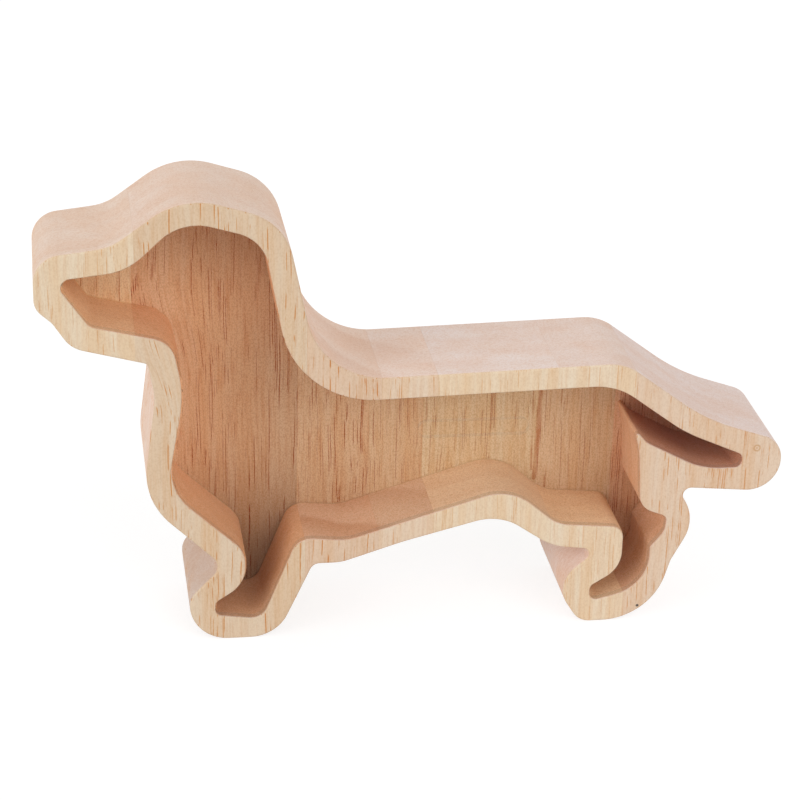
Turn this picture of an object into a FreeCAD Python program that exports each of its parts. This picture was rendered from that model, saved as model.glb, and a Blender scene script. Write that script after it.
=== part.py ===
"""Dachshund-shaped wooden money box, in millimetres.

Upright staves are glued edge to edge into one block. The block is cut to the outline of a standing
dachshund, a pocket is milled into it from the front, and a clear pane with a coin slot closes the pocket.

Frame: +Z is up, the front faces -Y, the nose points to -X. The origin is under the middle of the block,
on the surface that the paws stand on.
"""

import FreeCAD, Part
import math
import os

# Block
LENGTH = 220.0
THICKNESS = 38.0
POCKET_DEPTH = 25.3
EDGE_ROUND = 0.7
MOUTH_ROUND = 0.4

# Pane, and the ledge that it seats on, which runs along the pocket's upper and nose-side walls
PANE_THICKNESS = 2.0
PANE_INSET = 0.3
PANE_GAP = 0.15
LEDGE_WIDTH = 0.5

# Coin slot through the pane, placed by its middle
SLOT_LENGTH = 33.0
SLOT_HEIGHT = 5.0
SLOT_FROM_NOSE = 126.0
SLOT_UP = 66.0

# Staves from nose to tail, each with the glue line at its far side, measured from the nose
STAVES = (
    ("muzzle_stave", 28.0),
    ("head_stave", 76.7),
    ("shoulder_stave", 98.6),
    ("rib_stave", 115.0),
    ("loin_stave", 150.5),
    ("rump_stave", 174.0),
    ("tail_stave", LENGTH),
)

# Outlines: the corners of straight runs, each as (distance from the nose, height, radius of its round)
DOG_OUTLINE = (
    (0.0, 122.5, 8.3),  # bridge of the nose
    (21.5, 125.2, 16.0),  # stop
    (41.8, 140.0, 22.0),  # crown
    (70.3, 131.5, 17.7),  # nape
    (81.0, 82.6, 23.5),  # shoulder
    (170.3, 85.0, 15.0),  # rump
    (196.2, 65.9, 60.0),  # top of the tail
    (220.0, 58.0, 8.0),  # tail tip, upper
    (220.0, 41.3, 9.6),  # tail tip, lower
    (188.2, 44.1, 2.4),  # crease under the tail
    (195.4, 33.4, 13.0),  # hock
    (188.3, 19.6, 3.0),  # dip above the heel
    (182.8, 0.0, 19.5),  # hind heel
    (160.8, 0.0, 6.0),  # hind toes, sole
    (152.4, 13.1, 9.4),  # hind toes, front
    (165.4, 24.3, 2.0),  # crease above the hind toes
    (151.2, 26.1, 18.0),  # thigh
    (134.8, 37.4, 16.0),  # tuck of the belly
    (106.0, 29.8, 90.0),  # belly
    (87.6, 23.8, 15.0),  # brisket
    (79.2, 23.8, 3.0),  # elbow
    (68.4, 0.0, 12.0),  # front heel
    (42.5, 0.0, 11.5),  # front toes, sole
    (42.5, 14.2, 6.5),  # front toes, top
    (52.4, 24.3, 4.0),  # crease above the front toes
    (29.3, 46.6, 22.0),  # chest
    (33.2, 79.4, 15.0),  # throat
    (31.3, 89.8, 1.5),  # crease behind the chin
    (10.0, 95.3, 8.8),  # chin
    (4.9, 103.1, 6.0),  # dip below the lip
    (0.0, 107.5, 6.0),  # lip
)
POCKET_OUTLINE = (
    (5.4, 115.7, 2.8),  # nose
    (26.0, 118.1, 18.0),  # stop
    (41.5, 132.8, 14.8),  # crown
    (64.2, 126.4, 12.0),  # nape
    (73.9, 75.6, 28.0),  # shoulder
    (168.0, 78.1, 20.0),  # rump
    (189.7, 62.1, 50.0),  # top of the tail
    (207.9, 54.1, 2.2),  # tail tip, upper
    (207.9, 49.9, 2.2),  # tail tip, lower
    (195.8, 49.9, 24.0),  # underside of the tail
    (178.4, 59.1, 6.0),  # root of the tongue's tip
    (174.3, 63.8, 0.6),  # wooden tongue between tail and leg
    (176.3, 56.0, 20.0),  # front of the tongue
    (177.6, 37.8, 6.0),  # back of the thigh
    (186.2, 34.4, 2.3),  # hock, upper
    (185.6, 29.5, 5.0),  # hock, lower
    (181.5, 24.3, 1.0),  # dip above the heel
    (181.5, 11.2, 13.0),  # hind heel
    (163.5, 6.7, 2.3),  # hind toes, sole
    (163.6, 12.0, 2.3),  # hind toes, top
    (172.9, 17.8, 9.5),  # front of the hind leg
    (172.9, 31.6, 4.0),  # knee
    (152.7, 33.3, 12.0),  # thigh
    (137.8, 46.0, 15.0),  # tuck of the belly
    (89.3, 31.1, 14.0),  # brisket
    (74.5, 32.5, 6.0),  # elbow
    (64.0, 6.2, 5.0),  # front heel
    (50.1, 8.1, 2.2),  # front toes, sole
    (50.1, 12.3, 2.2),  # front toes, top
    (59.0, 18.2, 10.0),  # front of the front leg
    (59.0, 28.8, 9.0),  # forearm
    (36.3, 49.9, 17.0),  # chest
    (41.5, 80.0, 38.0),  # throat
    (38.2, 96.3, 8.0),  # crease behind the chin
    (15.3, 101.7, 4.0),  # chin
)

FRONT = -THICKNESS / 2
BACK = THICKNESS / 2
SHORTEST_RUN = 1e-4
FLATNESS = 1e-5
INTO_BLOCK = FreeCAD.Vector(0, 1, 0)


def along(from_nose):
    """Place along the block, from its middle, of a distance measured from the nose."""
    return from_nose - LENGTH / 2


def corner_arc(before, here, after, radius):
    """The start, middle and end of the arc that rounds one corner, touching both runs."""
    back = (before - here).normalize()
    ahead = (after - here).normalize()
    half_angle = back.getAngle(ahead) / 2
    reach = radius / math.tan(half_angle)
    inward = (back + ahead).normalize()
    start = here + back * reach
    middle = here + inward * (radius / math.sin(half_angle) - radius)
    end = here + ahead * reach
    return start, middle, end


def outline_wire(corners, y):
    """A closed wire of straight runs and tangent arcs in the plane at depth y."""
    points = [FreeCAD.Vector(along(from_nose), y, height) for from_nose, height, radius in corners]
    count = len(corners)
    arcs = []
    for i in range(count):
        arcs.append(corner_arc(points[i - 1], points[i], points[(i + 1) % count], corners[i][2]))
    edges = []
    for i in range(count):
        start, middle, end = arcs[i]
        next_start = arcs[(i + 1) % count][0]
        run = next_start - end
        if run.dot(points[(i + 1) % count] - points[i]) < 0:
            raise ValueError("the rounds at corners %d and %d overlap" % (i, (i + 1) % count))
        edges.append(Part.Arc(start, middle, end).toShape())
        if run.Length > SHORTEST_RUN:
            edges.append(Part.makeLine(end, next_start))
    return Part.Wire(edges)


def slab(wire, depth):
    """The solid between a closed wire and its copy a given depth further into the block."""
    return Part.Face(wire).extrude(INTO_BLOCK * depth)


def face_at(solid, y):
    """The flat face that lies in the plane at depth y."""
    for face in solid.Faces:
        box = face.BoundBox
        if box.YLength < FLATNESS and abs(box.YMin - y) < FLATNESS:
            return face
    raise ValueError("no flat face at depth %.2f" % y)


def make_block():
    """The glued block: the dog's outline with eased edges, and a pocket with a ledge and an eased mouth."""
    mouth = outline_wire(POCKET_OUTLINE, FRONT)
    pocket = slab(mouth, POCKET_DEPTH)
    shifted = pocket.translated(FreeCAD.Vector(LEDGE_WIDTH, 0, -LEDGE_WIDTH))
    block = slab(outline_wire(DOG_OUTLINE, FRONT), THICKNESS)
    block = block.cut(slab(mouth, PANE_INSET + PANE_THICKNESS))
    block = block.cut(pocket.common(shifted))
    outer_edges = face_at(block, FRONT).OuterWire.Edges + face_at(block, BACK).OuterWire.Edges
    block = block.makeFillet(EDGE_ROUND, outer_edges)
    rim = face_at(block, FRONT)
    mouth_wires = [wire for wire in rim.Wires if not wire.isSame(rim.OuterWire)]
    return block.makeFillet(MOUTH_ROUND, mouth_wires[0].Edges)


def cut_stave(block, near_side, far_side):
    """The part of the block between two upright planes, measured from the nose."""
    room = 1.0
    low = FreeCAD.Vector(along(near_side), FRONT - room, -room)
    tall = block.BoundBox.ZMax + 2 * room
    slice_box = Part.makeBox(far_side - near_side, THICKNESS + 2 * room, tall, low)
    return block.common(slice_box)


def make_pane():
    """The clear pane: the pocket's outline less its gap, with a round-ended coin slot."""
    face_depth = FRONT + PANE_INSET
    outline = outline_wire(POCKET_OUTLINE, face_depth).makeOffset2D(-PANE_GAP)
    pane = slab(outline, PANE_THICKNESS)
    half = SLOT_LENGTH / 2
    slot_end = SLOT_HEIGHT / 2
    slot_corners = (
        (SLOT_FROM_NOSE - half, SLOT_UP + slot_end, slot_end),
        (SLOT_FROM_NOSE + half, SLOT_UP + slot_end, slot_end),
        (SLOT_FROM_NOSE + half, SLOT_UP - slot_end, slot_end),
        (SLOT_FROM_NOSE - half, SLOT_UP - slot_end, slot_end),
    )
    return pane.cut(slab(outline_wire(slot_corners, face_depth), PANE_THICKNESS))


def save(name, shape):
    """Write one piece as its own solid."""
    solid = shape.Solids[0]
    if len(shape.Solids) != 1 or not solid.isValid():
        raise ValueError("%s isn't one sound solid" % name)
    solid.exportStep("parts/%s.step" % name)
    print("%-16s %8.0f mm3" % (name, solid.Volume))


def main():
    os.makedirs("parts", exist_ok=True)
    block = make_block()
    near_side = 0.0
    for name, far_side in STAVES:
        save(name, cut_stave(block, near_side, far_side))
        near_side = far_side
    save("front_window", make_pane())


main()
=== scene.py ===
"""Looks of a dachshund-shaped money box: seven wooden staves, a clear pane and a plain studio.

Every size is in metres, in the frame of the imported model: +Z is up, the pocket opens towards -Y and the nose
points to -X.
"""

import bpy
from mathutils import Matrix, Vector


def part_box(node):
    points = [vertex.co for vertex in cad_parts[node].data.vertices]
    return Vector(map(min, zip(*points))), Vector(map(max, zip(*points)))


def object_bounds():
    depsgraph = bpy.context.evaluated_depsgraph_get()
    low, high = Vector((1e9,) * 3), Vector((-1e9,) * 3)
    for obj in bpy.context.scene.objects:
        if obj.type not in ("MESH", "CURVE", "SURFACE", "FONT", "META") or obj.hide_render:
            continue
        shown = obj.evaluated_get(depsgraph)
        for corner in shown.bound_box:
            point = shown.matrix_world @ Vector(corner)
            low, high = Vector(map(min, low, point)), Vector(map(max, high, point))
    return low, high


bl_info = {
    "name": "Dachshund Money Box",
    "version": (1, 0, 0),
    "blender": (4, 5, 0),
    "location": "View3D > Sidebar > Money Box",
    "description": "Gives the staves their wood and the pane its acrylic, and sets up a plain studio",
    "category": "Material",
}

import math

import bpy
import numpy as np
from bpy.props import CollectionProperty, FloatProperty, FloatVectorProperty, PointerProperty
from mathutils import Matrix, Vector

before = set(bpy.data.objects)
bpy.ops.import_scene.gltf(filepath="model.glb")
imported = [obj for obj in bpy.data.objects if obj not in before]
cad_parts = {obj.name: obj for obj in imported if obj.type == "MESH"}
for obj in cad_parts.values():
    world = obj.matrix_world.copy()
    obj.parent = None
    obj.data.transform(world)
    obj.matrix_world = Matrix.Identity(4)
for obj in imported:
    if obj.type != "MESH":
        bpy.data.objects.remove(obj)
CAD_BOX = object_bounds()

BLOCK_LOW, BLOCK_HIGH = CAD_BOX
FRONT = BLOCK_LOW.y
NOSE = BLOCK_LOW.x
POCKET_DEPTH = 0.0253
POCKET_FLOOR = FRONT + POCKET_DEPTH

# The pocket as seen from the front: tapered runs, each with its two ends as (past the nose, up, half width)
POCKET_RUNS = (
    ((0.0135, 0.1100, 0.0085), (0.0300, 0.1095, 0.0155)),  # muzzle
    ((0.0300, 0.1095, 0.0155), (0.0460, 0.1160, 0.0190)),  # brow
    ((0.0530, 0.1150, 0.0190), (0.0600, 0.0560, 0.0254)),  # neck and chest
    ((0.0720, 0.0543, 0.0290), (0.1300, 0.0603, 0.0210)),  # ribs
    ((0.1300, 0.0603, 0.0210), (0.1630, 0.0560, 0.0255)),  # loin and rump
    ((0.0670, 0.0380, 0.0130), (0.0625, 0.0140, 0.0095)),  # front leg
    ((0.0545, 0.0115, 0.0070), (0.0620, 0.0120, 0.0090)),  # front paw
    ((0.1760, 0.0440, 0.0100), (0.1770, 0.0180, 0.0080)),  # hind leg
    ((0.1680, 0.0110, 0.0065), (0.1770, 0.0170, 0.0080)),  # hind paw
    ((0.1780, 0.0325, 0.0090), (0.1820, 0.0325, 0.0080)),  # hock
)
TAIL_RUNS = (
    ((0.1720, 0.0680, 0.0095), (0.1900, 0.0585, 0.0065)),  # root
    ((0.1900, 0.0582, 0.0068), (0.2045, 0.0528, 0.0060)),  # tip
)
POCKET_EDGE_BLUR = 0.0004

# Each stave's own wood and painted shade, by the names of the settings in StaveWood
STAVE_WOODS = {
    "muzzle_stave": {
        "face": (0.75, 0.62, 0.46),
        "outer_edge": (0.88, 0.71, 0.60),
        "pocket_wall": (0.915, 0.625, 0.383),
        "pocket_floor": (0.97, 0.745, 0.485),
        "pore_strength": 0.7,
        "heart": (0.020, 0.090),
        "ring_spacing": 0.0080,
        "ring_strength": 0.10,
    },
    "head_stave": {
        "face": (0.695, 0.555, 0.41),
        "outer_edge": (0.88, 0.705, 0.60),
        "pocket_wall": (0.87, 0.525, 0.306),
        "pocket_floor": (0.73, 0.455, 0.269),
        "painted_shade_at_feet": 0.58,
        "painted_floor_shade": 0.35,
        "pore_strength": 1.0,
        "heart": (0.090, 0.100),
        "ring_spacing": 0.0090,
        "ring_strength": 0.10,
    },
    "shoulder_stave": {
        "face": (0.695, 0.52, 0.38),
        "outer_edge": (0.885, 0.69, 0.58),
        "pocket_wall": (0.82, 0.55, 0.373),
        "pocket_floor": (0.685, 0.447, 0.268),
        "painted_shade_at_feet": 0.82,
        "pore_strength": 1.0,
        "heart": (0.060, -0.040),
        "ring_spacing": 0.0200,
        "ring_strength": 0.60,
    },
    "rib_stave": {
        "face": (0.735, 0.585, 0.445),
        "outer_edge": (0.905, 0.74, 0.655),
        "pocket_wall": (0.79, 0.555, 0.382),
        "pocket_floor": (0.69, 0.467, 0.281),
        "painted_shade_at_feet": 0.92,
        "pore_strength": 0.8,
        "heart": (0.060, -0.040),
        "ring_spacing": 0.0200,
        "ring_strength": 0.40,
    },
    "loin_stave": {
        "face": (0.765, 0.625, 0.46),
        "outer_edge": (0.90, 0.765, 0.71),
        "pocket_wall": (0.86, 0.635, 0.426),
        "pocket_floor": (0.73, 0.555, 0.351),
        "painted_shade_at_feet": 0.95,
        "pore_strength": 0.6,
        "heart": (0.140, 0.120),
        "ring_spacing": 0.0090,
        "ring_strength": 0.12,
    },
    "rump_stave": {
        "face": (0.77, 0.64, 0.485),
        "outer_edge": (0.885, 0.73, 0.66),
        "pocket_wall": (0.895, 0.645, 0.414),
        "pocket_floor": (0.71, 0.503, 0.317),
        "pore_strength": 0.65,
        "heart": (0.150, 0.100),
        "ring_spacing": 0.0080,
        "ring_strength": 0.12,
    },
    "tail_stave": {
        "face": (0.725, 0.565, 0.43),
        "outer_edge": (0.885, 0.745, 0.70),
        "pocket_wall": (0.80, 0.50, 0.322),
        "pocket_floor": (0.735, 0.435, 0.262),
        "painted_shade_at_feet": 0.90,
        "pore_strength": 0.85,
        "heart": (0.230, 0.090),
        "ring_spacing": 0.0080,
        "ring_strength": 0.10,
    },
}

# How often each part of the figure repeats, per metre along X, Y and Z
WANDER_WAVE = (45.0, 45.0, 18.0)
BEAD_WAVE = (700.0, 700.0, 900.0)
DASH_WAVE = (900.0, 900.0, 60.0)
SHORT_DASH_WAVE = (900.0, 900.0, 170.0)
CLUSTER_WAVE = (110.0, 110.0, 9.0)
FIBRE_WAVE = (1300.0, 1300.0, 70.0)
BAND_WAVE = (230.0, 160.0, 7.0)
CLOUD_WAVE = (45.0, 80.0, 25.0)
SPECK_WAVE = (2400.0, 2400.0, 1600.0)
STREAK_WAVE = (900.0, 900.0, 120.0)

# The masks that the grain, the pocket and the marks hand on to the tint of the wood
GRAIN_MASKS = ("Pore", "Vessel", "Fibre", "Band", "Cloud", "Speck", "Ring")
POCKET_MASKS = ("Pocket", "Floor", "Tail")
MARK_MASKS = ("Streak", "Knot", "Fleck")

WANDER_REACH = 0.0035
SHUFFLE_STEP = (0.37, 0.23, 0.61)
GRAIN_RELIEF = 0.00008

# The bend of the grain below the throat: its middle past the nose, half width and reach, and the heights
# between which it sets in
THROAT = 0.036
THROAT_HALF_WIDTH = 0.022
THROAT_BEND = -0.0065
THROAT_HEIGHTS = (0.105, 0.072)

# Tints, each multiplied with the colour of the wood under it
CLOUD_TINT = (0.98, 0.93, 0.89)
# The tail tint is painted shade in the narrow tail pocket
TAIL_PAINTED_SHADE_TINT = (0.82, 0.70, 0.72)
BAND_TINT = (0.97, 0.87, 0.76)
RING_TINT = (0.86, 0.74, 0.66)
FIBRE_TINT = (0.88, 0.73, 0.60)
SPECK_TINT = (0.78, 0.68, 0.58)
RIM_PORE_TINT = (0.82, 0.45, 0.16)
FLOOR_PORE_TINT = (0.56, 0.21, 0.08)
END_PORE_TINT = (0.96, 0.92, 0.88)
STREAK_TINT = (0.70, 0.40, 0.26)
KNOT_TINT = (0.78, 0.60, 0.40)
GLUE_TINT = (0.62, 0.50, 0.42)

# Heights between which painted shade darkens the wood: on the paws' outer edge, and in the pocket at the
# feet and at the crown. The pocket's wall takes a weaker painted shade at the feet than its floor.
PAINTED_SHADE_PAW_HEIGHTS = (0.034, 0.022)
PAINTED_SHADE_FOOT_HEIGHTS = (0.058, 0.010)
PAINTED_SHADE_CROWN_HEIGHTS = (0.096, 0.122)
CROWN_PAINTED_SHADE = 0.82
WALL_PAINTED_SHADE_POWER = 0.4

# Streaks on the pocket floor: tapered runs as above, each with how strong it is
FLOOR_STREAKS = (
    ((0.1510, 0.0740, 0.0004), (0.1506, 0.0530, 0.0008), 0.7),
    ((0.1506, 0.0530, 0.0007), (0.1500, 0.0370, 0.0005), 0.9),
    ((0.1486, 0.0632, 0.0001), (0.1490, 0.0400, 0.0002), 0.7),
    ((0.0650, 0.0743, 0.0001), (0.0731, 0.0678, 0.0001), 0.15),
    ((0.0731, 0.0678, 0.0001), (0.0830, 0.0645, 0.0001), 0.15),
)

# A knot in the tail's rim and a dark fleck on the hind foot's rim, each placed past the nose and up
KNOT = (0.2121, 0.0562)
KNOT_RADIUS = 0.0009
FLECK = (0.1787, 0.0047)
FLECK_RADIUS = 0.0006
FLECK_COLOUR = (0.09, 0.07, 0.06)

ACRYLIC_REFRACTION = 1.49
ACRYLIC_ROUGHNESS = 0.06
SLANT_HAZE = 0.25

# The directions that the lamps' light travels in, and how wide each lamp looks
LEFT_LAMP_TOWARDS = (0.81, 0.47, -0.34)
RIGHT_LAMP_TOWARDS = (-0.43, 0.75, -0.50)
LAMP_SPREAD = math.radians(40.0)

# The floor's colour as a share of white, for light and for the eye, and the glow that the eye sees
FLOOR_HALF_SIDE = 6.0
FLOOR_SHARE = 0.90
FLOOR_SHARE_SEEN = 0.35
FLOOR_GLOW = 0.75


def past_nose(distance):
    """Place along X of a distance measured from the nose."""
    return NOSE + distance


class WoodFinish(bpy.types.PropertyGroup):
    """What all staves share."""

    pore_spacing: FloatProperty(
        name="Pore Spacing",
        description="Usual distance between neighbouring pores, seen on the end grain",
        default=0.0006,
        unit="LENGTH",
        precision=5,
    )
    pore_width: FloatProperty(
        name="Pore Width",
        description="Usual width of a pore",
        default=0.00031,
        unit="LENGTH",
        precision=5,
    )
    roughness: FloatProperty(
        name="Roughness",
        description="Roughness of the sanded wood",
        default=0.62,
        min=0.0,
        max=1.0,
        subtype="FACTOR",
    )


class StaveWood(bpy.types.PropertyGroup):
    """One stave's own wood, and the painted shade in its pocket and on its paws."""

    face: FloatVectorProperty(
        name="Face",
        description="Colour of the sanded front and back",
        default=(0.73, 0.55, 0.39),
        size=3,
        subtype="COLOR",
    )
    outer_edge: FloatVectorProperty(
        name="Outer Edge",
        description="Colour of the sanded edge all round the dog, as along its back",
        default=(0.78, 0.62, 0.54),
        size=3,
        subtype="COLOR",
    )
    pocket_wall: FloatVectorProperty(
        name="Pocket Wall",
        description="Colour of the milled pocket wall",
        default=(0.72, 0.44, 0.27),
        size=3,
        subtype="COLOR",
    )
    pocket_floor: FloatVectorProperty(
        name="Pocket Floor",
        description="Colour of the milled pocket floor",
        default=(0.65, 0.40, 0.23),
        size=3,
        subtype="COLOR",
    )
    # Painted shade: how light the pocket and the paws' outer edge stay at the feet
    painted_shade_at_feet: FloatProperty(
        name="Foot Shade",
        description="How light the wood stays at the feet",
        default=1.0,
        min=0.0,
        max=1.0,
        subtype="FACTOR",
    )
    # Painted shade across the pocket's floor, darker at the stave's tail side
    painted_floor_shade: FloatProperty(
        name="Floor Fade",
        description="How much darker the pocket's floor is at the stave's tail side than at its nose side",
        default=0.0,
        min=0.0,
        max=1.0,
        subtype="FACTOR",
    )
    pore_strength: FloatProperty(
        name="Pore Strength",
        description="How plainly the pores show",
        default=0.8,
        min=0.0,
        max=1.0,
        subtype="FACTOR",
    )
    heart: FloatVectorProperty(
        name="Heart",
        description="Heart of the tree, as a distance past the nose and one behind the front face",
        default=(0.10, 0.10),
        size=2,
        unit="LENGTH",
    )
    ring_spacing: FloatProperty(
        name="Ring Spacing",
        description="Distance from one growth ring to the next",
        default=0.006,
        unit="LENGTH",
        precision=4,
    )
    ring_strength: FloatProperty(
        name="Ring Strength",
        description="How plainly the rings show on the pocket's wall",
        default=0.2,
        min=0.0,
        max=1.0,
        subtype="FACTOR",
    )
    shuffle: FloatProperty(
        name="Shuffle",
        description="Gives the stave its own pores and bands",
        default=1.0,
    )


class PaneFinish(bpy.types.PropertyGroup):
    """The clear pane."""

    tint: FloatVectorProperty(
        name="Tint",
        description="Colour of the acrylic",
        default=(0.90, 0.95, 0.95),
        size=3,
        subtype="COLOR",
    )
    haze: FloatProperty(
        name="Haze",
        description="Share of light that the pane doesn't let straight through",
        default=0.004,
        min=0.0,
        max=1.0,
        subtype="FACTOR",
    )
    edge_tint: FloatVectorProperty(
        name="Edge Tint",
        description="Colour of the sheet's cut edge",
        default=(0.48, 0.45, 0.40),
        size=3,
        subtype="COLOR",
    )
    edge_haze: FloatProperty(
        name="Edge Haze",
        description="Share of light that the cut edge doesn't let straight through",
        default=0.14,
        min=0.0,
        max=1.0,
        subtype="FACTOR",
    )


class Studio(bpy.types.PropertyGroup):
    """Lamps, floor and camera."""

    left_lamp: FloatProperty(
        name="Left Lamp",
        description="Strength of the lamp at the nose's side",
        default=0.96,
        min=0.0,
    )
    right_lamp: FloatProperty(
        name="Right Lamp",
        description="Strength of the lamp in front, at the tail's side",
        default=0.80,
        min=0.0,
    )
    fill: FloatProperty(
        name="Fill Light",
        description="Strength of the even light from all round",
        default=0.80,
        min=0.0,
    )
    camera_place: FloatVectorProperty(
        name="Camera Place",
        description="Where the camera stands",
        default=(-0.1066, -0.6734, 0.3681),
        size=3,
        subtype="TRANSLATION",
    )
    camera_turn: FloatVectorProperty(
        name="Camera Turn",
        description="The camera's turn about the upright, its height angle and its roll",
        default=(math.radians(-8.73), math.radians(23.80), math.radians(1.485)),
        size=3,
        subtype="EULER",
    )
    lens: FloatProperty(
        name="Lens",
        description="Focal length in millimetres on a 36 mm sensor",
        default=112.5,
        min=1.0,
    )


class MoneyBox(bpy.types.PropertyGroup):
    """All settings of the money box."""

    wood: PointerProperty(type=WoodFinish, name="Wood", description="What all staves share")
    staves: CollectionProperty(type=StaveWood, name="Staves", description="Each stave's own wood")
    pane: PointerProperty(type=PaneFinish, name="Pane", description="The clear pane")
    studio: PointerProperty(type=Studio, name="Studio", description="Lamps, floor and camera")


class NodeSketch:
    """Adds nodes to one tree. What is given to an input is a socket to link, or a plain value."""

    def __init__(self, tree):
        self.tree = tree
        tree.nodes.clear()

    def add(self, kind, inputs=(), **settings):
        node = self.tree.nodes.new(kind)
        for name, value in settings.items():
            setattr(node, name, value)
        for name, value in dict(inputs).items():
            self.feed(node.inputs[name], value)
        return node

    def feed(self, socket, value):
        """Links a socket or sets its value. A plain colour is given as three shares and is opaque."""
        if isinstance(value, bpy.types.NodeSocket):
            self.tree.links.new(value, socket)
        elif socket.type == "RGBA":
            socket.default_value = (*value, 1.0)
        else:
            socket.default_value = value

    def math(self, operation, *values, clamp=False):
        node = self.add("ShaderNodeMath", enumerate(values), operation=operation, use_clamp=clamp)
        return node.outputs[0]

    def vector(self, operation, *values):
        """A vector sum. Dot products, lengths and distances come out as a value."""
        node = self.add("ShaderNodeVectorMath", enumerate(values), operation=operation)
        is_value = operation in ("DOT_PRODUCT", "LENGTH", "DISTANCE")
        return node.outputs["Value" if is_value else "Vector"]

    def scaled(self, vector, factor):
        node = self.add("ShaderNodeVectorMath", {0: vector, "Scale": factor}, operation="SCALE")
        return node.outputs["Vector"]

    def split(self, vector):
        return self.add("ShaderNodeSeparateXYZ", {0: vector}).outputs

    def joined(self, x, y, z):
        return self.add("ShaderNodeCombineXYZ", {0: x, 1: y, 2: z}).outputs[0]

    def noise(self, vector, wave, detail=2.0, roughness=0.5):
        """Noise that repeats as often as the wave says, along each axis."""
        stretched = self.vector("MULTIPLY", vector, wave)
        inputs = {"Vector": stretched, "Scale": 1.0, "Detail": detail, "Roughness": roughness}
        return self.add("ShaderNodeTexNoise", inputs).outputs

    def level(self, mask, low, high):
        """Goes in a straight line from low, where the mask is 0, to high, where it is 1."""
        return self.math("MULTIPLY_ADD", mask, high - low, low)

    def fade(self, value, start, end, low=0.0, high=1.0):
        """Goes smoothly from low at start to high at end, and stays level outside."""
        inputs = {"Value": value, "From Min": start, "From Max": end, "To Min": low, "To Max": high}
        return self.add("ShaderNodeMapRange", inputs, interpolation_type="SMOOTHSTEP").outputs[0]

    def mix(self, factor, a, b, blend_type="MIX"):
        inputs = {0: factor, 6: a, 7: b}
        node = self.add("ShaderNodeMix", inputs, data_type="RGBA", blend_type=blend_type)
        return node.outputs[2]

    def tinted(self, colour, tint, factor):
        """A colour multiplied with a tint, as far as the factor says."""
        return self.mix(factor, colour, tint, "MULTIPLY")


def new_group(name, inputs, outputs):
    """An empty shader node group with named sockets, each given as its name and its kind."""
    tree = bpy.data.node_groups.new(name, "ShaderNodeTree")
    for socket, kind in inputs.items():
        tree.interface.new_socket(socket, in_out="INPUT", socket_type="NodeSocket" + kind)
    for socket, kind in outputs.items():
        tree.interface.new_socket(socket, in_out="OUTPUT", socket_type="NodeSocket" + kind)
    sketch = NodeSketch(tree)
    given = sketch.add("NodeGroupInput").outputs
    result = sketch.add("NodeGroupOutput").inputs
    return sketch, given, result


def use_group(sketch, name, inputs):
    """Places a node group in a tree."""
    node = sketch.add("ShaderNodeGroup", node_tree=bpy.data.node_groups[name])
    for socket, value in inputs.items():
        sketch.feed(node.inputs[socket], value)
    return node.outputs


def bent_at_throat(sketch, vector):
    """A place moved sideways, most at the throat's middle, so that the grain below it bends to the tail."""
    at = sketch.split(vector)
    aside = sketch.math("ABSOLUTE", sketch.math("SUBTRACT", at["X"], past_nose(THROAT)))
    below_throat = sketch.fade(at["Z"], *THROAT_HEIGHTS)
    bend = sketch.math("MULTIPLY", below_throat, sketch.fade(aside, THROAT_HALF_WIDTH, 0.0, 0.0, THROAT_BEND))
    return sketch.vector("ADD", vector, sketch.joined(bend, 0.0, 0.0))


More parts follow.
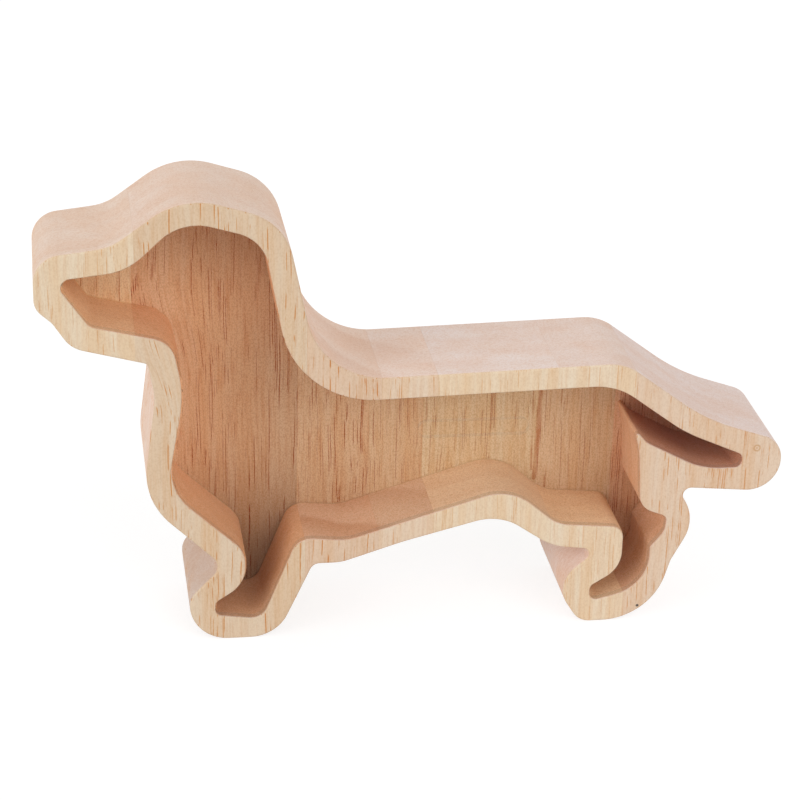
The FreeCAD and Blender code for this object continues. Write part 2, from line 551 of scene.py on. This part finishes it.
def build_grain_group():
    """Upright grain as a solid pattern.

    Pores are upright tubes, the middles of a flat cell pattern seen from above. The tubes wander sideways
    with height, so a face cuts each one as a dash and end grain cuts it as a dot. Vessels are the few largest
    pores. Fibres and bands are noise drawn out along the tubes, and clouds and specks are noise that isn't.
    Rings are equal steps of distance from the heart of the tree.
    """
    inputs = {
        "Vector": "Vector",
        "Heart": "Vector",
        "Ring Spacing": "Float",
        "Pore Spacing": "Float",
        "Pore Width": "Float",
        "Shuffle": "Float",
    }
    sketch, given, result = new_group("Upright Grain", inputs, dict.fromkeys(GRAIN_MASKS, "Float"))
    bent = bent_at_throat(sketch, given["Vector"])
    shuffled = sketch.vector("MULTIPLY_ADD", SHUFFLE_STEP, given["Shuffle"], bent)
    wander = sketch.vector("SUBTRACT", sketch.noise(shuffled, WANDER_WAVE)["Color"], (0.5, 0.5, 0.5))
    wander = sketch.vector("MULTIPLY", wander, (WANDER_REACH, WANDER_REACH, 0.0))
    tube = sketch.vector("ADD", shuffled, wander)

    cells_per_metre = sketch.math("DIVIDE", 1.0, given["Pore Spacing"])
    cell = sketch.add(
        "ShaderNodeTexVoronoi",
        {"Vector": tube, "Scale": cells_per_metre},
        voronoi_dimensions="2D",
        feature="F1",
    ).outputs
    chance = sketch.split(cell["Color"])["X"]
    usual_radius = sketch.math("DIVIDE", given["Pore Width"], given["Pore Spacing"])
    radius = sketch.math("MULTIPLY", usual_radius, sketch.level(chance, 0.2, 0.7))
    core = sketch.math("MULTIPLY", radius, 0.60)
    pore = sketch.fade(cell["Distance"], radius, core)

    beads = sketch.fade(sketch.noise(tube, BEAD_WAVE, 1.0)["Fac"], 0.38, 0.54, 0.70, 1.0)
    dashes = sketch.fade(sketch.noise(tube, DASH_WAVE, 1.0)["Fac"], 0.42, 0.49)
    cluster = sketch.fade(sketch.noise(shuffled, CLUSTER_WAVE)["Fac"], 0.36, 0.60, 0.60, 1.0)
    broken = sketch.math("MULTIPLY", sketch.math("MULTIPLY", beads, dashes), cluster)
    sketch.feed(result["Pore"], sketch.math("MULTIPLY", pore, broken))
    short_dashes = sketch.fade(sketch.noise(tube, SHORT_DASH_WAVE, 1.0)["Fac"], 0.43, 0.55)
    large = sketch.math("MULTIPLY", pore, sketch.fade(chance, 0.40, 0.70))
    sketch.feed(result["Vessel"], sketch.math("MULTIPLY", large, short_dashes))

    sketch.feed(result["Fibre"], sketch.noise(tube, FIBRE_WAVE, 3.0, 0.65)["Fac"])
    sketch.feed(result["Band"], sketch.noise(tube, BAND_WAVE)["Fac"])
    sketch.feed(result["Cloud"], sketch.noise(shuffled, CLOUD_WAVE)["Fac"])
    sketch.feed(result["Speck"], sketch.noise(shuffled, SPECK_WAVE, 1.0)["Fac"])

    from_heart = sketch.vector("SUBTRACT", sketch.vector("ADD", given["Vector"], wander), given["Heart"])
    distance = sketch.vector("LENGTH", sketch.vector("MULTIPLY", from_heart, (1.0, 1.0, 0.0)))
    phase = sketch.math("FRACT", sketch.math("DIVIDE", distance, given["Ring Spacing"]))
    rise = sketch.fade(phase, 0.15, 0.90)
    fall = sketch.fade(phase, 1.0, 0.86)
    sketch.feed(result["Ring"], sketch.math("MULTIPLY", rise, fall))


def outside_run(sketch, flat, start, end):
    """How far a point, seen from the front, lies outside a tapered run. It is negative inside."""
    start_x, start_z, start_half = start
    end_x, end_z, end_half = end
    first = Vector((past_nose(start_x), 0.0, start_z))
    run = Vector((past_nose(end_x), 0.0, end_z)) - first
    offset = sketch.vector("SUBTRACT", flat, first)
    share = sketch.vector("DOT_PRODUCT", offset, run / run.length_squared)
    share = sketch.math("ADD", share, 0.0, clamp=True)
    aside = sketch.vector("DISTANCE", offset, sketch.scaled(run, share))
    return sketch.math("SUBTRACT", aside, sketch.level(share, start_half, end_half))


def nearest_run(sketch, flat, runs):
    """How far a point lies outside the nearest of several tapered runs."""
    nearest = 1.0
    for start, end in runs:
        nearest = sketch.math("MINIMUM", nearest, outside_run(sketch, flat, start, end))
    return nearest


def build_pocket_group():
    """Masks of the milled pocket, of its floor and of its narrow end in the tail, which gets painted shade.

    A point is in the pocket if it is nearer to the middle line of a run than the run's half width there, and
    lies between the front face and the floor.
    """
    inputs = {"Vector": "Vector"}
    sketch, given, result = new_group("Milled Pocket", inputs, dict.fromkeys(POCKET_MASKS, "Float"))
    at = sketch.split(given["Vector"])
    flat = sketch.joined(at["X"], 0.0, at["Z"])
    nearest_tail = nearest_run(sketch, flat, TAIL_RUNS)
    nearest = sketch.math("MINIMUM", nearest_run(sketch, flat, POCKET_RUNS), nearest_tail)
    inside = sketch.fade(nearest, POCKET_EDGE_BLUR, -POCKET_EDGE_BLUR)
    behind_face = sketch.fade(at["Y"], FRONT + 0.0003, FRONT + 0.0007)
    before_back = sketch.fade(at["Y"], POCKET_FLOOR + 0.0020, POCKET_FLOOR + 0.0010)
    pocket = sketch.math("MULTIPLY", inside, sketch.math("MULTIPLY", behind_face, before_back))
    at_floor = sketch.fade(at["Y"], POCKET_FLOOR - 0.0012, POCKET_FLOOR - 0.0002)
    in_tail = sketch.fade(nearest_tail, POCKET_EDGE_BLUR, -POCKET_EDGE_BLUR)
    past_thigh = sketch.fade(at["X"], past_nose(0.174), past_nose(0.182))
    sketch.feed(result["Pocket"], pocket)
    sketch.feed(result["Floor"], sketch.math("MULTIPLY", pocket, at_floor))
    sketch.feed(result["Tail"], sketch.math("MULTIPLY", in_tail, past_thigh))


def build_marks_group():
    """Masks of the streaks on the pocket floor, of a knot and of a fleck on the rim."""
    inputs = {"Vector": "Vector", "Floor": "Float"}
    sketch, given, result = new_group("Wood Marks", inputs, dict.fromkeys(MARK_MASKS, "Float"))
    at = sketch.split(given["Vector"])
    flat = sketch.joined(at["X"], 0.0, at["Z"])
    uneven = sketch.fade(sketch.noise(given["Vector"], STREAK_WAVE)["Fac"], 0.30, 0.60, 0.35, 1.0)
    streak = 0.0
    for start, end, strength in FLOOR_STREAKS:
        mark = sketch.fade(outside_run(sketch, flat, start, end), 0.0003, -0.0001, 0.0, strength)
        streak = sketch.math("MAXIMUM", streak, mark)
    on_floor = sketch.math("MULTIPLY", uneven, given["Floor"])
    sketch.feed(result["Streak"], sketch.math("MULTIPLY", streak, on_floor))

    on_front = sketch.fade(at["Y"], FRONT + 0.0004, FRONT + 0.0001)
    from_knot = sketch.vector("DISTANCE", flat, (past_nose(KNOT[0]), 0.0, KNOT[1]))
    from_ring = sketch.math("ABSOLUTE", sketch.math("SUBTRACT", from_knot, KNOT_RADIUS))
    ring = sketch.fade(from_ring, 0.0005, 0.0, 0.0, 0.8)
    middle = sketch.fade(from_knot, 0.0004, 0.0001)
    knot = sketch.math("MAXIMUM", ring, middle)
    sketch.feed(result["Knot"], sketch.math("MULTIPLY", knot, on_front))
    from_fleck = sketch.vector("DISTANCE", flat, (past_nose(FLECK[0]), 0.0, FLECK[1]))
    fleck = sketch.fade(from_fleck, FLECK_RADIUS, FLECK_RADIUS / 2)
    sketch.feed(result["Fleck"], sketch.math("MULTIPLY", fleck, on_front))


def sanded_wood(sketch, given, at, edgewise):
    """Colour of the front, the back and the outer edge. The edge is clouded, and darker on the paws with
    painted shade.
    """
    sanded = sketch.mix(edgewise, given["Face Colour"], given["Edge Colour"])
    cloud = sketch.math("MULTIPLY", sketch.fade(given["Cloud"], 0.40, 0.62), edgewise)
    sanded = sketch.tinted(sanded, CLOUD_TINT, cloud)
    # Painted shade low on the paws' outer edge
    paw_painted_shade = sketch.math("MULTIPLY", sketch.fade(at["Z"], *PAINTED_SHADE_PAW_HEIGHTS), edgewise)
    shaded = sketch.scaled(sanded, sketch.math("SQRT", given["Foot Shade"]))
    return sketch.mix(paw_painted_shade, sanded, shaded)


def milled_wood(sketch, given, at):
    """Colour of the pocket, with painted shade at the crown, the feet and the tail, and across a stave's
    floor.
    """
    # Painted shade across the floor, darker at the stave's tail side
    width = sketch.math("SUBTRACT", given["Far Side"], given["Near Side"])
    share = sketch.math("DIVIDE", sketch.math("SUBTRACT", at["X"], given["Near Side"]), width)
    lean = sketch.math("MULTIPLY", sketch.math("SUBTRACT", 0.5, share), given["Floor Fade"])
    # Painted shade on the floor under the crown
    crown = sketch.fade(at["Z"], *PAINTED_SHADE_CROWN_HEIGHTS, 1.0, CROWN_PAINTED_SHADE)
    floor_painted_shade = sketch.math("MULTIPLY", sketch.math("ADD", lean, 1.0), crown)
    floor = sketch.scaled(given["Floor Colour"], floor_painted_shade)
    milled = sketch.mix(given["Floor"], given["Wall Colour"], floor)
    # Painted shade in the pocket at the feet, weaker on the wall than on the floor
    foot = sketch.fade(at["Z"], *PAINTED_SHADE_FOOT_HEIGHTS, 1.0, given["Foot Shade"])
    foot_power = sketch.fade(given["Floor"], 0.0, 1.0, WALL_PAINTED_SHADE_POWER, 1.0)
    milled = sketch.scaled(milled, sketch.math("POWER", foot, foot_power))
    # Painted shade in the narrow tail pocket
    return sketch.tinted(milled, TAIL_PAINTED_SHADE_TINT, given["Tail"])


def figured_wood(sketch, given, wood, on_wall, end_grain):
    """The wood with its bands, growth rings, fibres and specks."""
    band_strength = sketch.level(end_grain, 0.85, 0.20)
    band = sketch.math("MULTIPLY", sketch.fade(given["Band"], 0.35, 0.68), band_strength)
    wood = sketch.tinted(wood, BAND_TINT, band)
    ring_shows = sketch.math("MULTIPLY_ADD", end_grain, 0.5, on_wall)
    ring_strength = sketch.math("MULTIPLY_ADD", ring_shows, given["Ring Strength"], 0.05)
    wood = sketch.tinted(wood, RING_TINT, sketch.math("MULTIPLY", given["Ring"], ring_strength))
    fibre_strength = sketch.level(given["Floor"], 0.42, 0.75)
    fibre = sketch.math("MULTIPLY", sketch.fade(given["Fibre"], 0.42, 0.68), fibre_strength)
    wood = sketch.tinted(wood, FIBRE_TINT, fibre)
    speck_strength = sketch.level(given["Pocket"], 0.25, 0.65)
    speck = sketch.math("MULTIPLY", sketch.fade(given["Speck"], 0.42, 0.66), speck_strength)
    return sketch.tinted(wood, SPECK_TINT, speck)


def pored_wood(sketch, given, wood, on_wall, end_grain):
    """The wood with its open pores: all of them in the pocket and on end grain, elsewhere the vessels."""
    on_end = sketch.math("MAXIMUM", on_wall, end_grain)
    tint = sketch.mix(given["Floor"], RIM_PORE_TINT, FLOOR_PORE_TINT)
    tint = sketch.mix(on_end, tint, END_PORE_TINT)
    rough_cut = sketch.math("MAXIMUM", on_end, given["Floor"])
    vessel = sketch.math("MULTIPLY", given["Vessel"], given["Pore Strength"])
    others = sketch.math("SUBTRACT", given["Pore"], vessel)
    cut_open = sketch.math("MULTIPLY_ADD", rough_cut, others, vessel)
    return sketch.tinted(wood, tint, sketch.math("MULTIPLY", cut_open, given["Pore Strength"]))


def marked_wood(sketch, given, wood, at):
    """The wood with its streaks, its knot, its fleck and its glue lines."""
    wood = sketch.tinted(wood, STREAK_TINT, given["Streak"])
    wood = sketch.tinted(wood, KNOT_TINT, given["Knot"])
    wood = sketch.mix(given["Fleck"], wood, FLECK_COLOUR)
    near = sketch.math("ABSOLUTE", sketch.math("SUBTRACT", at["X"], given["Near Side"]))
    far = sketch.math("ABSOLUTE", sketch.math("SUBTRACT", at["X"], given["Far Side"]))
    glue = sketch.fade(sketch.math("MINIMUM", near, far), 0.00014, 0.00004, 0.0, 0.12)
    return sketch.tinted(wood, GLUE_TINT, glue)


def build_tint_group():
    """Colour, roughness and height of one stave's wood, from its figure, from where it was cut and from
    painted shade.
    """
    inputs = {
        "Vector": "Vector",
        "Normal": "Vector",
        **dict.fromkeys((*GRAIN_MASKS, *POCKET_MASKS, *MARK_MASKS), "Float"),
        "Face Colour": "Color",
        "Edge Colour": "Color",
        "Wall Colour": "Color",
        "Floor Colour": "Color",
        "Foot Shade": "Float",
        "Floor Fade": "Float",
        "Pore Strength": "Float",
        "Ring Strength": "Float",
        "Near Side": "Float",
        "Far Side": "Float",
        "Sanded Roughness": "Float",
    }
    outputs = {"Color": "Color", "Roughness": "Float", "Height": "Float"}
    sketch, given, result = new_group("Stave Tint", inputs, outputs)
    at = sketch.split(given["Vector"])
    facing = sketch.split(given["Normal"])
    edgewise = sketch.fade(sketch.math("ABSOLUTE", facing["Y"]), 0.60, 0.20)
    upright = sketch.fade(sketch.math("ABSOLUTE", facing["Z"]), 0.25, 0.85)
    end_grain = sketch.math("MULTIPLY", upright, edgewise)
    on_wall = sketch.math("SUBTRACT", given["Pocket"], given["Floor"])

    sanded = sanded_wood(sketch, given, at, edgewise)
    wood = sketch.mix(given["Pocket"], sanded, milled_wood(sketch, given, at))
    wood = figured_wood(sketch, given, wood, on_wall, end_grain)
    wood = pored_wood(sketch, given, wood, on_wall, end_grain)
    sketch.feed(result["Color"], marked_wood(sketch, given, wood, at))
    rough = sketch.math("MULTIPLY_ADD", given["Fibre"], 0.10, given["Sanded Roughness"])
    sketch.feed(result["Roughness"], sketch.math("MULTIPLY_ADD", given["Pore"], 0.15, rough))
    height = sketch.math("MULTIPLY_ADD", given["Pore"], -1.0, sketch.math("MULTIPLY", given["Fibre"], 0.35))
    sketch.feed(result["Height"], height)


def glue_lines(node_name):
    """Where a stave's two sides are glued, along X. A side that ends the block is put out of reach."""
    low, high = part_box(node_name)
    same_place = 0.001
    out_of_reach = 1.0
    near = low.x if low.x > BLOCK_LOW.x + same_place else BLOCK_LOW.x - out_of_reach
    far = high.x if high.x < BLOCK_HIGH.x - same_place else BLOCK_HIGH.x + out_of_reach
    return near, far


def build_wood(node_name, stave, finish):
    """The material of one stave."""
    near_side, far_side = glue_lines(node_name)
    material = bpy.data.materials.new(node_name.replace("_", " ") + " wood")
    material.use_nodes = True
    sketch = NodeSketch(material.node_tree)
    place = sketch.add("ShaderNodeTexCoord").outputs
    grain = use_group(sketch, "Upright Grain", {
        "Vector": place["Object"],
        "Heart": (past_nose(stave.heart[0]), FRONT + stave.heart[1], 0.0),
        "Ring Spacing": stave.ring_spacing,
        "Pore Spacing": finish.pore_spacing,
        "Pore Width": finish.pore_width,
        "Shuffle": stave.shuffle,
    })
    pocket = use_group(sketch, "Milled Pocket", {"Vector": place["Object"]})
    marks = use_group(sketch, "Wood Marks", {"Vector": place["Object"], "Floor": pocket["Floor"]})
    masks = {mask.name: mask for mask in (*grain, *pocket, *marks)}
    tint = use_group(sketch, "Stave Tint", {
        **masks,
        "Vector": place["Object"],
        "Normal": place["Normal"],
        "Face Colour": stave.face,
        "Edge Colour": stave.outer_edge,
        "Wall Colour": stave.pocket_wall,
        "Floor Colour": stave.pocket_floor,
        "Foot Shade": stave.painted_shade_at_feet,
        "Floor Fade": stave.painted_floor_shade,
        "Pore Strength": stave.pore_strength,
        "Ring Strength": stave.ring_strength,
        "Near Side": near_side,
        "Far Side": far_side,
        "Sanded Roughness": finish.roughness,
    })
    bump = sketch.add("ShaderNodeBump", {"Strength": 0.5, "Distance": GRAIN_RELIEF, "Height": tint["Height"]})
    surface = sketch.add("ShaderNodeBsdfPrincipled", {
        "Base Color": tint["Color"],
        "Roughness": tint["Roughness"],
        "Specular IOR Level": 0.3,
        "Normal": bump.outputs[0],
    })
    sketch.add("ShaderNodeOutputMaterial", {"Surface": surface.outputs[0]})
    return material


def build_acrylic(pane):
    """Clear acrylic: nearly all light goes straight through a face, and the cut edges show a little."""
    material = bpy.data.materials.new("clear acrylic")
    material.use_nodes = True
    sketch = NodeSketch(material.node_tree)
    outward = sketch.split(sketch.add("ShaderNodeTexCoord").outputs["Normal"])
    edge = sketch.fade(sketch.math("ABSOLUTE", outward["Y"]), 0.6, 0.3)
    slant = sketch.add("ShaderNodeLayerWeight", {"Blend": 0.25}).outputs["Facing"]
    face_haze = sketch.fade(slant, 0.45, 1.0, pane.haze, SLANT_HAZE)
    surface = sketch.add("ShaderNodeBsdfPrincipled", {
        "Base Color": sketch.mix(edge, pane.tint, pane.edge_tint),
        "Roughness": ACRYLIC_ROUGHNESS,
        "IOR": ACRYLIC_REFRACTION,
        "Alpha": sketch.math("MAXIMUM", face_haze, sketch.math("MULTIPLY", edge, pane.edge_haze)),
    })
    sketch.add("ShaderNodeOutputMaterial", {"Surface": surface.outputs[0]})
    return material


def seen_by_eye(sketch):
    """1 for what the camera sees directly, by reflection or through the pane."""
    path = sketch.add("ShaderNodeLightPath").outputs
    seen = sketch.math("MAXIMUM", path["Is Camera Ray"], path["Is Glossy Ray"])
    return sketch.math("MAXIMUM", seen, path["Is Transmission Ray"])


def build_floor_material():
    """A matt white floor. What the eye sees of it glows, so that it stays white with a soft shadow."""
    material = bpy.data.materials.new("studio floor")
    material.use_nodes = True
    sketch = NodeSketch(material.node_tree)
    seen = seen_by_eye(sketch)
    share = sketch.fade(seen, 0.0, 1.0, FLOOR_SHARE, FLOOR_SHARE_SEEN)
    matt = sketch.add("ShaderNodeBsdfDiffuse", {"Color": sketch.joined(share, share, share)})
    glow = sketch.add("ShaderNodeEmission", {"Strength": sketch.math("MULTIPLY", seen, FLOOR_GLOW)})
    both = sketch.add("ShaderNodeAddShader", {0: matt.outputs[0], 1: glow.outputs[0]})
    sketch.add("ShaderNodeOutputMaterial", {"Surface": both.outputs[0]})
    return material


def build_floor():
    """A square sheet at the height of the paws' soles."""
    side = np.array([-FLOOR_HALF_SIDE, FLOOR_HALF_SIDE])
    x, y = np.meshgrid(side, side)
    corners = np.stack([x.ravel(), y.ravel(), np.full(4, BLOCK_LOW.z)], axis=1)
    mesh = bpy.data.meshes.new("studio_floor")
    mesh.from_pydata(corners.tolist(), [], [(0, 1, 3, 2)])
    floor = bpy.data.objects.new("studio_floor", mesh)
    floor.data.materials.append(build_floor_material())
    bpy.context.scene.collection.objects.link(floor)


def build_world(strength):
    """Even light from all round, and white where the camera looks past the floor."""
    world = bpy.data.worlds.new("studio light")
    world.use_nodes = True
    sketch = NodeSketch(world.node_tree)
    level = sketch.fade(seen_by_eye(sketch), 0.0, 1.0, strength, 1.0)
    background = sketch.add("ShaderNodeBackground", {"Strength": level})
    sketch.add("ShaderNodeOutputWorld", {"Surface": background.outputs[0]})
    bpy.context.scene.world = world


def build_lamp(name, strength, towards):
    """A distant soft lamp. Towards is the direction that its light travels in."""
    lamp = bpy.data.lights.new(name, "SUN")
    lamp.energy = strength
    lamp.angle = LAMP_SPREAD
    holder = bpy.data.objects.new(name, lamp)
    holder.rotation_euler = Vector(towards).to_track_quat("-Z", "Y").to_euler()
    bpy.context.scene.collection.objects.link(holder)


def build_camera(studio):
    """The camera of the photograph, turned about the upright, tilted down and rolled."""
    turn, height_angle, roll = studio.camera_turn
    lens = bpy.data.cameras.new("camera")
    lens.lens = studio.lens
    lens.sensor_width = 36.0
    lens.clip_start = 0.01
    lens.clip_end = 100.0
    camera = bpy.data.objects.new("camera", lens)
    about_upright = Matrix.Rotation(turn, 4, "Z")
    tilt = Matrix.Rotation(math.pi / 2 - height_angle, 4, "X")
    rolled = Matrix.Rotation(roll, 4, "Z")
    camera.matrix_world = Matrix.Translation(studio.camera_place) @ about_upright @ tilt @ rolled
    bpy.context.scene.collection.objects.link(camera)
    bpy.context.scene.camera = camera


def cover(node_name, material):
    """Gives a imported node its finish."""
    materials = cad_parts[node_name].data.materials
    materials.clear()
    materials.append(material)


class MONEYBOX_OT_staves(bpy.types.Operator):
    """Give each glued stave its own wood"""

    bl_idname = "money_box.staves"
    bl_label = "Staves"

    def execute(self, context):
        settings = context.scene.money_box
        build_grain_group()
        build_pocket_group()
        build_marks_group()
        build_tint_group()
        for stave in settings.staves:
            cover(stave.name, build_wood(stave.name, stave, settings.wood))
        return {"FINISHED"}


class MONEYBOX_OT_pane(bpy.types.Operator):
    """Give the pane that closes the pocket its clear acrylic"""

    bl_idname = "money_box.pane"
    bl_label = "Pane"

    def execute(self, context):
        cover("front_window", build_acrylic(context.scene.money_box.pane))
        return {"FINISHED"}


class MONEYBOX_OT_stage(bpy.types.Operator):
    """Set up the floor, the lamps and the camera"""

    bl_idname = "money_box.stage"
    bl_label = "Stage"

    def execute(self, context):
        studio = context.scene.money_box.studio
        build_floor()
        build_world(studio.fill)
        build_lamp("left lamp", studio.left_lamp, LEFT_LAMP_TOWARDS)
        build_lamp("right lamp", studio.right_lamp, RIGHT_LAMP_TOWARDS)
        build_camera(studio)
        context.scene.view_settings.view_transform = "Standard"
        return {"FINISHED"}


OPERATORS = (MONEYBOX_OT_staves, MONEYBOX_OT_pane, MONEYBOX_OT_stage)


class MONEYBOX_PT_panel(bpy.types.Panel):
    """Lists the steps that dress the money box"""

    bl_idname = "MONEYBOX_PT_panel"
    bl_label = "Money Box"
    bl_space_type = "VIEW_3D"
    bl_region_type = "UI"
    bl_category = "Money Box"

    def draw(self, context):
        settings = context.scene.money_box
        for group in (settings.wood, settings.pane, settings.studio, *settings.staves):
            box = self.layout.box()
            for name in type(group).__annotations__:
                box.prop(group, name)
        for operator in OPERATORS:
            self.layout.operator(operator.bl_idname)


CLASSES = (WoodFinish, StaveWood, PaneFinish, Studio, MoneyBox, *OPERATORS, MONEYBOX_PT_panel)


def register():
    for cls in CLASSES:
        bpy.utils.register_class(cls)
    bpy.types.Scene.money_box = PointerProperty(type=MoneyBox)


def unregister():
    del bpy.types.Scene.money_box
    for cls in reversed(CLASSES):
        bpy.utils.unregister_class(cls)


def list_staves(settings):
    """Fills the list of staves with their woods, and numbers them so that each has its own pores."""
    for number, (name, wood) in enumerate(STAVE_WOODS.items(), start=1):
        stave = settings.staves.add()
        stave.name = name
        stave.shuffle = number
        for setting, value in wood.items():
            setattr(stave, setting, value)


def main():
    register()
    list_staves(bpy.context.scene.money_box)
    bpy.ops.money_box.staves()
    bpy.ops.money_box.pane()
    bpy.ops.money_box.stage()


if __name__ == "__main__":
    main()
